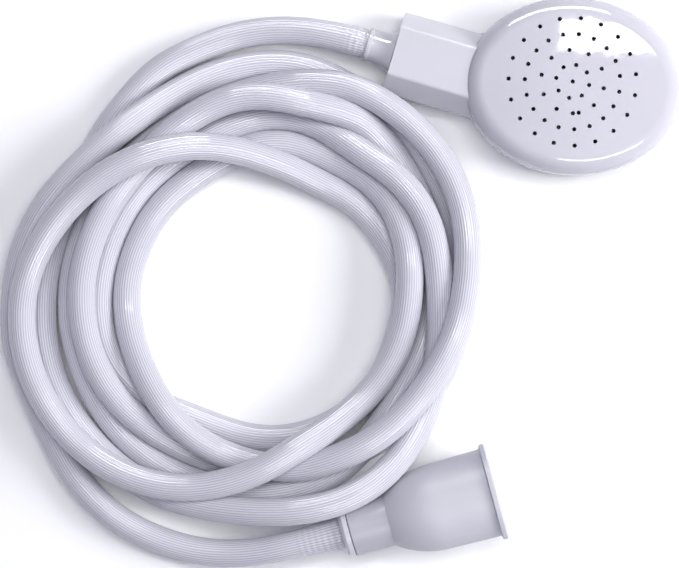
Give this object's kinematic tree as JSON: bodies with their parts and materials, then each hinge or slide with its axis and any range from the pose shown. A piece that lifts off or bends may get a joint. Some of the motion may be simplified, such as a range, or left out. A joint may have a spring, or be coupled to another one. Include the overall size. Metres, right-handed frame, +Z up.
{
  "type": "handheld bath sprayer",
  "caption": "Oval shower head on a square-shouldered neck with a swivel collar, a long ribbed hose lying in loose turns, and a soft cup that pushes over a tap.",
  "frame": {"origin": "on the surface the head lies on, under the middle of the head's box (hose, coil and tap adapter left out)", "axes": "+X along the neck from the swivel collar to the tip of the oval, +Z up out of the spray face, +Y across the head"},
  "size_m": [0.2288, 0.249, 0.037],
  "materials": {
    "head_plastic": "glossy moulded plastic",
    "tail_plastic": "satin moulded plastic",
    "adapter_plastic": "satin moulded plastic",
    "cup_pvc": "soft matt PVC",
    "hose_pvc": "semi-gloss PVC with fine lengthwise ribs",
    "seal_rubber": "matt",
    "clip_steel": "drawn stainless wire"
  },
  "bodies": {
    "head_and_hose": {"spray_face": "head_plastic", "head_body": "head_plastic", "face_seal": "seal_rubber", "inlet_tail": "tail_plastic", "inlet_o_rings": "seal_rubber", "inlet_clip": "clip_steel", "hose_head_lead": "hose_pvc", "hose_coil": "hose_pvc", "hose_tap_lead": "hose_pvc", "tap_tail": "adapter_plastic", "tap_o_ring": "seal_rubber", "tap_clip": "clip_steel"},
    "swivel_collar": {"swivel_collar": "head_plastic"},
    "tap_adapter": {"tap_collar": "adapter_plastic", "tap_cup": "cup_pvc", "cup_washer": "seal_rubber"}
  },
  "joints": [
    {"name": "collar_turn", "type": "hinge", "parent": "head_and_hose", "child": "swivel_collar", "pos_m": [-0.0549, -0.006, 0.0105], "axis": [-1, 0, 0], "continuous": true},
    {"name": "tap_adapter_turn", "type": "hinge", "parent": "head_and_hose", "child": "tap_adapter", "pos_m": [-0.00858, -0.18098, 0.0168], "axis": [0.8521, 0.5222, 0.0349], "continuous": true}
  ]
}
